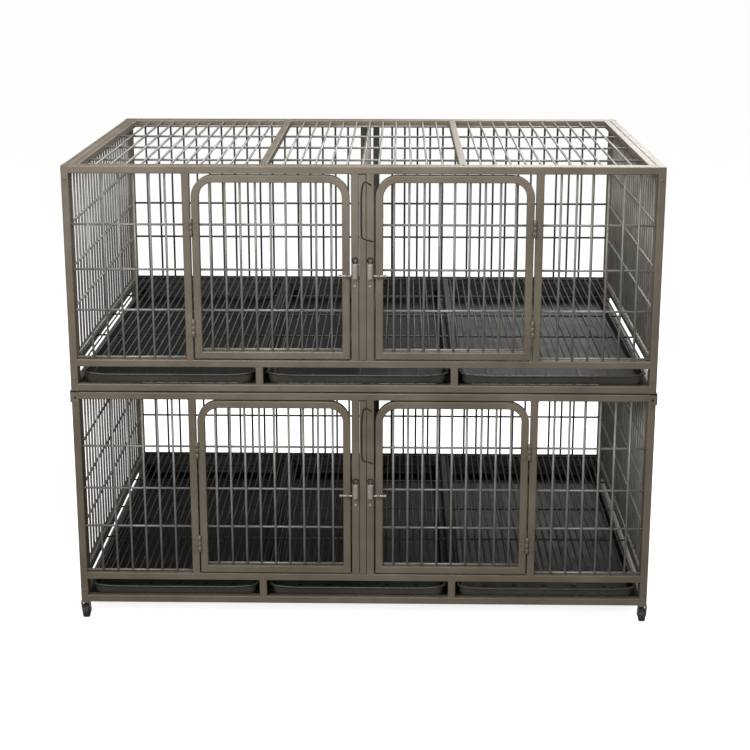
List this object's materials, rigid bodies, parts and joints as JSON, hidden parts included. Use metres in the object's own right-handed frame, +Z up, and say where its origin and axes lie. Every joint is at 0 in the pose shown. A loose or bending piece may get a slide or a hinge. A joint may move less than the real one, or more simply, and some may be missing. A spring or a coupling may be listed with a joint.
{
  "type": "stackable wire animal cage",
  "caption": "Two-tier wire cage on casters for rabbits or poultry, with hinged front doors, latches, removable divider, floor grille and slide-out trays",
  "frame": {"origin": "on the floor under the centre of the cage", "axes": "+Z up, +X to the right of someone facing the doors, the doors face -Y"},
  "size_m": [1.2554, 0.8479, 1.0146],
  "materials": {
    "powder_coat": "satin taupe-bronze powder coat on welded square tube",
    "coated_wire": "satin powder coat on round wire",
    "tray_plastic": "glossy black moulded plastic",
    "zinc": "bright zinc plate",
    "wheel_plastic": "dark grey moulded tread"
  },
  "bodies": {
    "cage": {"front_frame_lower": "powder_coat", "back_panel_lower": "powder_coat", "floor_grille_lower": "coated_wire", "front_mesh_left_lower": "coated_wire", "side_panel_left_lower": "powder_coat", "hinge_left_bottom_lower": "powder_coat", "hinge_left_top_lower": "powder_coat", "latch_barrel_left_lower": "powder_coat", "front_mesh_right_lower": "coated_wire", "side_panel_right_lower": "powder_coat", "hinge_right_bottom_lower": "powder_coat", "hinge_right_top_lower": "powder_coat", "latch_barrel_right_lower": "powder_coat", "front_frame_upper": "powder_coat", "back_panel_upper": "powder_coat", "floor_grille_upper": "coated_wire", "front_mesh_left_upper": "coated_wire", "side_panel_left_upper": "powder_coat", "hinge_left_bottom_upper": "powder_coat", "hinge_left_top_upper": "powder_coat", "latch_barrel_left_upper": "powder_coat", "front_mesh_right_upper": "coated_wire", "side_panel_right_upper": "powder_coat", "hinge_right_bottom_upper": "powder_coat", "hinge_right_top_upper": "powder_coat", "latch_barrel_right_upper": "powder_coat", "roof_panel": "powder_coat", "stacking_corner_front_left": "powder_coat", "stacking_corner_front_right": "powder_coat", "stacking_corner_back_left": "powder_coat", "stacking_corner_back_right": "powder_coat"},
    "divider_lower": {"divider_lower": "powder_coat"},
    "door_left_lower": {"door_left_lower": "powder_coat"},
    "latch_bolt_left_lower": {"latch_bolt_left_lower": "zinc"},
    "latch_pin_left_lower": {"latch_pin_left_lower": "zinc"},
    "door_right_lower": {"door_right_lower": "powder_coat"},
    "latch_bolt_right_lower": {"latch_bolt_right_lower": "zinc"},
    "latch_pin_right_lower": {"latch_pin_right_lower": "zinc"},
    "tray_left_lower": {"tray_left_lower": "tray_plastic"},
    "tray_middle_lower": {"tray_middle_lower": "tray_plastic"},
    "tray_right_lower": {"tray_right_lower": "tray_plastic"},
    "divider_upper": {"divider_upper": "powder_coat"},
    "door_left_upper": {"door_left_upper": "powder_coat"},
    "latch_bolt_left_upper": {"latch_bolt_left_upper": "zinc"},
    "latch_pin_left_upper": {"latch_pin_left_upper": "zinc"},
    "door_right_upper": {"door_right_upper": "powder_coat"},
    "latch_bolt_right_upper": {"latch_bolt_right_upper": "zinc"},
    "latch_pin_right_upper": {"latch_pin_right_upper": "zinc"},
    "tray_left_upper": {"tray_left_upper": "tray_plastic"},
    "tray_middle_upper": {"tray_middle_upper": "tray_plastic"},
    "tray_right_upper": {"tray_right_upper": "tray_plastic"},
    "caster_fork_front_left": {"caster_fork_front_left": "zinc"},
    "caster_wheel_front_left": {"caster_wheel_front_left": "wheel_plastic"},
    "caster_fork_front_right": {"caster_fork_front_right": "zinc"},
    "caster_wheel_front_right": {"caster_wheel_front_right": "wheel_plastic"},
    "caster_fork_back_left": {"caster_fork_back_left": "zinc"},
    "caster_wheel_back_left": {"caster_wheel_back_left": "wheel_plastic"},
    "caster_fork_back_right": {"caster_fork_back_right": "zinc"},
    "caster_wheel_back_right": {"caster_wheel_back_right": "wheel_plastic"}
  },
  "joints": [
    {"name": "divider_slide_lower", "type": "slide", "parent": "cage", "child": "divider_lower", "axis": [0, -1, 0], "range_m": [0, 0.8]},
    {"name": "door_hinge_left_lower", "type": "hinge", "parent": "cage", "child": "door_left_lower", "pos_m": [-0.358, -0.4143, 0.291], "axis": [0, 0, -1], "range_deg": [0, 170]},
    {"name": "latch_bolt_slide_left_lower", "type": "slide", "parent": "door_left_lower", "child": "latch_bolt_left_lower", "axis": [1, 0, 0], "range_m": [0, 0.0085]},
    {"name": "latch_pin_lift_left_lower", "type": "slide", "parent": "cage", "child": "latch_pin_left_lower", "axis": [0, 0, 1], "range_m": [0, 0.01]},
    {"name": "door_hinge_right_lower", "type": "hinge", "parent": "cage", "child": "door_right_lower", "pos_m": [0.358, -0.4143, 0.291], "axis": [0, 0, 1], "range_deg": [0, 170]},
    {"name": "latch_bolt_slide_right_lower", "type": "slide", "parent": "door_right_lower", "child": "latch_bolt_right_lower", "axis": [-1, 0, 0], "range_m": [0, 0.0085]},
    {"name": "latch_pin_lift_right_lower", "type": "slide", "parent": "cage", "child": "latch_pin_right_lower", "axis": [0, 0, 1], "range_m": [0, 0.01]},
    {"name": "tray_slide_left_lower", "type": "slide", "parent": "cage", "child": "tray_left_lower", "axis": [0, -1, 0], "range_m": [0, 0.75]},
    {"name": "tray_slide_middle_lower", "type": "slide", "parent": "cage", "child": "tray_middle_lower", "axis": [0, -1, 0], "range_m": [0, 0.75]},
    {"name": "tray_slide_right_lower", "type": "slide", "parent": "cage", "child": "tray_right_lower", "axis": [0, -1, 0], "range_m": [0, 0.75]},
    {"name": "divider_slide_upper", "type": "slide", "parent": "cage", "child": "divider_upper", "axis": [0, -1, 0], "range_m": [0, 0.8]},
    {"name": "door_hinge_left_upper", "type": "hinge", "parent": "cage", "child": "door_left_upper", "pos_m": [-0.358, -0.4143, 0.7786], "axis": [0, 0, -1], "range_deg": [0, 170]},
    {"name": "latch_bolt_slide_left_upper", "type": "slide", "parent": "door_left_upper", "child": "latch_bolt_left_upper", "axis": [1, 0, 0], "range_m": [0, 0.0085]},
    {"name": "latch_pin_lift_left_upper", "type": "slide", "parent": "cage", "child": "latch_pin_left_upper", "axis": [0, 0, 1], "range_m": [0, 0.01]},
    {"name": "door_hinge_right_upper", "type": "hinge", "parent": "cage", "child": "door_right_upper", "pos_m": [0.358, -0.4143, 0.7786], "axis": [0, 0, 1], "range_deg": [0, 170]},
    {"name": "latch_bolt_slide_right_upper", "type": "slide", "parent": "door_right_upper", "child": "latch_bolt_right_upper", "axis": [-1, 0, 0], "range_m": [0, 0.0085]},
    {"name": "latch_pin_lift_right_upper", "type": "slide", "parent": "cage", "child": "latch_pin_right_upper", "axis": [0, 0, 1], "range_m": [0, 0.01]},
    {"name": "tray_slide_left_upper", "type": "slide", "parent": "cage", "child": "tray_left_upper", "axis": [0, -1, 0], "range_m": [0, 0.75]},
    {"name": "tray_slide_middle_upper", "type": "slide", "parent": "cage", "child": "tray_middle_upper", "axis": [0, -1, 0], "range_m": [0, 0.75]},
    {"name": "tray_slide_right_upper", "type": "slide", "parent": "cage", "child": "tray_right_upper", "axis": [0, -1, 0], "range_m": [0, 0.75]},
    {"name": "caster_swivel_front_left", "type": "hinge", "parent": "cage", "child": "caster_fork_front_left", "pos_m": [-0.617, -0.402, 0.04], "axis": [0, 0, 1], "continuous": true},
    {"name": "wheel_spin_front_left", "type": "hinge", "parent": "caster_fork_front_left", "child": "caster_wheel_front_left", "pos_m": [-0.617, -0.395, 0.016], "axis": [1, 0, 0], "continuous": true},
    {"name": "caster_swivel_front_right", "type": "hinge", "parent": "cage", "child": "caster_fork_front_right", "pos_m": [0.617, -0.402, 0.04], "axis": [0, 0, 1], "continuous": true},
    {"name": "wheel_spin_front_right", "type": "hinge", "parent": "caster_fork_front_right", "child": "caster_wheel_front_right", "pos_m": [0.617, -0.395, 0.016], "axis": [1, 0, 0], "continuous": true},
    {"name": "caster_swivel_back_left", "type": "hinge", "parent": "cage", "child": "caster_fork_back_left", "pos_m": [-0.617, 0.402, 0.04], "axis": [0, 0, 1], "continuous": true},
    {"name": "wheel_spin_back_left", "type": "hinge", "parent": "caster_fork_back_left", "child": "caster_wheel_back_left", "pos_m": [-0.617, 0.409, 0.016], "axis": [1, 0, 0], "continuous": true},
    {"name": "caster_swivel_back_right", "type": "hinge", "parent": "cage", "child": "caster_fork_back_right", "pos_m": [0.617, 0.402, 0.04], "axis": [0, 0, 1], "continuous": true},
    {"name": "wheel_spin_back_right", "type": "hinge", "parent": "caster_fork_back_right", "child": "caster_wheel_back_right", "pos_m": [0.617, 0.409, 0.016], "axis": [1, 0, 0], "continuous": true}
  ]
}
